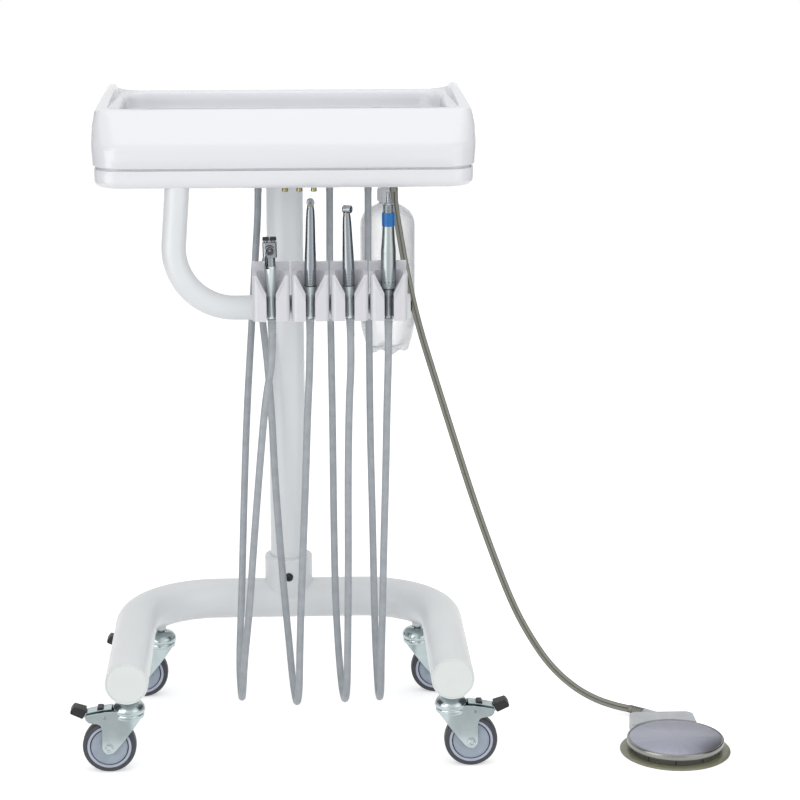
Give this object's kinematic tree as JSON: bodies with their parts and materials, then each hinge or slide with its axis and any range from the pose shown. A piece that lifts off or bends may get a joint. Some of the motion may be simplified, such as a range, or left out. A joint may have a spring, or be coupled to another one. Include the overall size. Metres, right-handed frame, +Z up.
{
  "type": "portable dental unit",
  "caption": "Mobile dental delivery cart: tray head on a column and castor base, handpieces in holders, hanging hoses, water bottle and a foot control.",
  "frame": {"origin": "on the floor under the axis of the column", "axes": "+X to the right of the cart, +Y to its back, +Z up; the handpieces face -Y"},
  "size_m": [0.9385, 0.508, 0.921],
  "materials": {
    "white_paint": "gloss",
    "white_abs": "gloss",
    "cap_plastic": "satin",
    "black_plastic": "matte",
    "zinc": "bright zinc plate",
    "tyre_rubber": "matte",
    "hub_plastic": "satin",
    "clear_plastic": "clear",
    "steel": "satin",
    "aluminium": "satin",
    "brass": "satin",
    "instrument": "satin",
    "syringe": "satin",
    "hose_silicone": "satin",
    "foot_hose_pvc": "satin",
    "clear_pet": "clear",
    "pedal_steel": "turned",
    "pedal_black": "matte",
    "pedal_grey": "satin"
  },
  "bodies": {
    "cart": {"base_frame": "white_paint", "tube_end_caps": "cap_plastic", "column": "white_paint", "socket_set_screw": "black_plastic", "castor_stems": "zinc", "head_cover": "white_abs", "head_pan": "white_abs", "chassis_plate": "steel", "head_screws": "steel", "control_block": "aluminium", "air_regulator": "aluminium", "brass_inlets": "brass", "hose_glands": "black_plastic", "holder_bar": "white_paint", "holder_bar_plug": "black_plastic", "holder_1": "white_abs", "holder_2": "white_abs", "holder_3": "white_abs", "holder_4": "white_abs", "bottle_cap": "white_abs", "hose_1": "hose_silicone", "hose_2": "hose_silicone", "hose_3": "hose_silicone", "hose_4": "hose_silicone", "foot_hose": "foot_hose_pvc"},
    "castor_front_left": {"front_left_fork": "zinc", "front_left_axle": "zinc"},
    "wheel_front_left": {"front_left_tyre": "tyre_rubber", "front_left_hub": "hub_plastic"},
    "brake_front_left": {"front_left_brake": "black_plastic"},
    "castor_front_right": {"front_right_fork": "zinc", "front_right_axle": "zinc"},
    "wheel_front_right": {"front_right_tyre": "tyre_rubber", "front_right_hub": "hub_plastic"},
    "brake_front_right": {"front_right_brake": "black_plastic"},
    "castor_rear_left": {"rear_left_fork": "zinc", "rear_left_axle": "zinc"},
    "wheel_rear_left": {"rear_left_tyre": "tyre_rubber", "rear_left_hub": "hub_plastic"},
    "brake_rear_left": {"rear_left_brake": "black_plastic"},
    "castor_rear_right": {"rear_right_fork": "zinc", "rear_right_axle": "zinc"},
    "wheel_rear_right": {"rear_right_tyre": "tyre_rubber", "rear_right_hub": "hub_plastic"},
    "liner": {"tray_liner": "clear_plastic"},
    "syringe": {"syringe_body": "syringe"},
    "nozzle": {"syringe_nozzle": "instrument"},
    "air_button": {"syringe_air_button": "instrument"},
    "water_button": {"syringe_water_button": "instrument"},
    "coupling_a": {"turbine_a_coupling": "instrument"},
    "handpiece_a": {"turbine_a": "instrument"},
    "coupling_b": {"turbine_b_coupling": "instrument"},
    "handpiece_b": {"turbine_b": "instrument"},
    "motor": {"low_speed_motor": "instrument"},
    "contra": {"contra_angle": "instrument"},
    "bottle": {"water_bottle": "clear_pet"},
    "foot_control": {"pedal_base": "pedal_black", "pedal_valve": "aluminium", "pedal_housing": "pedal_grey"},
    "foot_disc": {"pedal_disc": "pedal_steel"}
  },
  "joints": [
    {"name": "front_left_swivel", "type": "hinge", "parent": "cart", "child": "castor_front_left", "pos_m": [-0.226, -0.331, 0.09], "axis": [0, 0, 1], "continuous": true},
    {"name": "front_left_roll", "type": "hinge", "parent": "castor_front_left", "child": "wheel_front_left", "pos_m": [-0.254, -0.331, 0.0375], "axis": [0, 1, 0], "continuous": true},
    {"name": "front_left_brake_press", "type": "hinge", "parent": "castor_front_left", "child": "brake_front_left", "pos_m": [-0.259, -0.331, 0.083], "axis": [0, -1, 0], "range_deg": [0, 12]},
    {"name": "front_right_swivel", "type": "hinge", "parent": "cart", "child": "castor_front_right", "pos_m": [0.226, -0.331, 0.09], "axis": [0, 0, 1], "continuous": true},
    {"name": "front_right_roll", "type": "hinge", "parent": "castor_front_right", "child": "wheel_front_right", "pos_m": [0.254, -0.331, 0.0375], "axis": [0, 1, 0], "continuous": true},
    {"name": "front_right_brake_press", "type": "hinge", "parent": "castor_front_right", "child": "brake_front_right", "pos_m": [0.259, -0.331, 0.083], "axis": [0, 1, 0], "range_deg": [0, 12]},
    {"name": "rear_left_swivel", "type": "hinge", "parent": "cart", "child": "castor_rear_left", "pos_m": [-0.1943, -0.0375, 0.09], "axis": [0, 0, 1], "continuous": true},
    {"name": "rear_left_roll", "type": "hinge", "parent": "castor_rear_left", "child": "wheel_rear_left", "pos_m": [-0.2223, -0.0375, 0.0375], "axis": [0, 1, 0], "continuous": true},
    {"name": "rear_left_brake_press", "type": "hinge", "parent": "castor_rear_left", "child": "brake_rear_left", "pos_m": [-0.2273, -0.0375, 0.083], "axis": [0, -1, 0], "range_deg": [0, 12]},
    {"name": "rear_right_swivel", "type": "hinge", "parent": "cart", "child": "castor_rear_right", "pos_m": [0.1943, -0.0375, 0.09], "axis": [0, 0, 1], "continuous": true},
    {"name": "rear_right_roll", "type": "hinge", "parent": "castor_rear_right", "child": "wheel_rear_right", "pos_m": [0.2223, -0.0375, 0.0375], "axis": [0, 1, 0], "continuous": true},
    {"name": "liner_lift", "type": "slide", "parent": "cart", "child": "liner", "axis": [0, 0, 1], "range_m": [0, 0.06]},
    {"name": "syringe_lift", "type": "slide", "parent": "cart", "child": "syringe", "axis": [-0.0175, 0, 0.9998], "range_m": [0, 0.1]},
    {"name": "nozzle_turn", "type": "hinge", "parent": "syringe", "child": "nozzle", "pos_m": [-0.02173, -0.205, 0.71599], "axis": [0, 1, 0], "continuous": true},
    {"name": "air_button_press", "type": "slide", "parent": "syringe", "child": "air_button", "axis": [0.0175, 0, -0.9998], "range_m": [0, 0.002], "stiffness_N_per_m": 500, "springref_m": -0.0005},
    {"name": "water_button_press", "type": "slide", "parent": "syringe", "child": "water_button", "axis": [0.0175, 0, -0.9998], "range_m": [0, 0.002], "stiffness_N_per_m": 500, "springref_m": -0.0005},
    {"name": "handpiece_a_lift", "type": "slide", "parent": "cart", "child": "coupling_a", "axis": [0.0105, 0, 0.9999], "range_m": [0, 0.1]},
    {"name": "handpiece_a_swivel", "type": "hinge", "parent": "coupling_a", "child": "handpiece_a", "pos_m": [0.03444, -0.196, 0.664], "axis": [0.0105, 0, 0.9999], "continuous": true},
    {"name": "handpiece_b_lift", "type": "slide", "parent": "cart", "child": "coupling_b", "axis": [-0.0279, 0, 0.9996], "range_m": [0, 0.1]},
    {"name": "handpiece_b_swivel", "type": "hinge", "parent": "coupling_b", "child": "handpiece_b", "pos_m": [0.08884, -0.196, 0.664], "axis": [-0.0279, 0, 0.9996], "continuous": true},
    {"name": "motor_lift", "type": "slide", "parent": "cart", "child": "motor", "axis": [0, 0, 1], "range_m": [0, 0.1]},
    {"name": "contra_angle_turn", "type": "hinge", "parent": "motor", "child": "contra", "pos_m": [0.1441, -0.196, 0.748], "axis": [0, 0, 1], "continuous": true},
    {"name": "bottle_drop", "type": "slide", "parent": "cart", "child": "bottle", "axis": [0, 0, -1], "range_m": [0, 0.06]},
    {"name": "foot_control_move", "type": "slide", "parent": "cart", "child": "foot_control", "axis": [1, 0, 0], "range_m": [-0.06, 0.08], "deforming": ["foot_hose"]},
    {"name": "foot_disc_press", "type": "slide", "parent": "foot_control", "child": "foot_disc", "axis": [0, 0, -1], "range_m": [0, 0.004], "stiffness_N_per_m": 3000, "springref_m": -0.002}
  ]
}
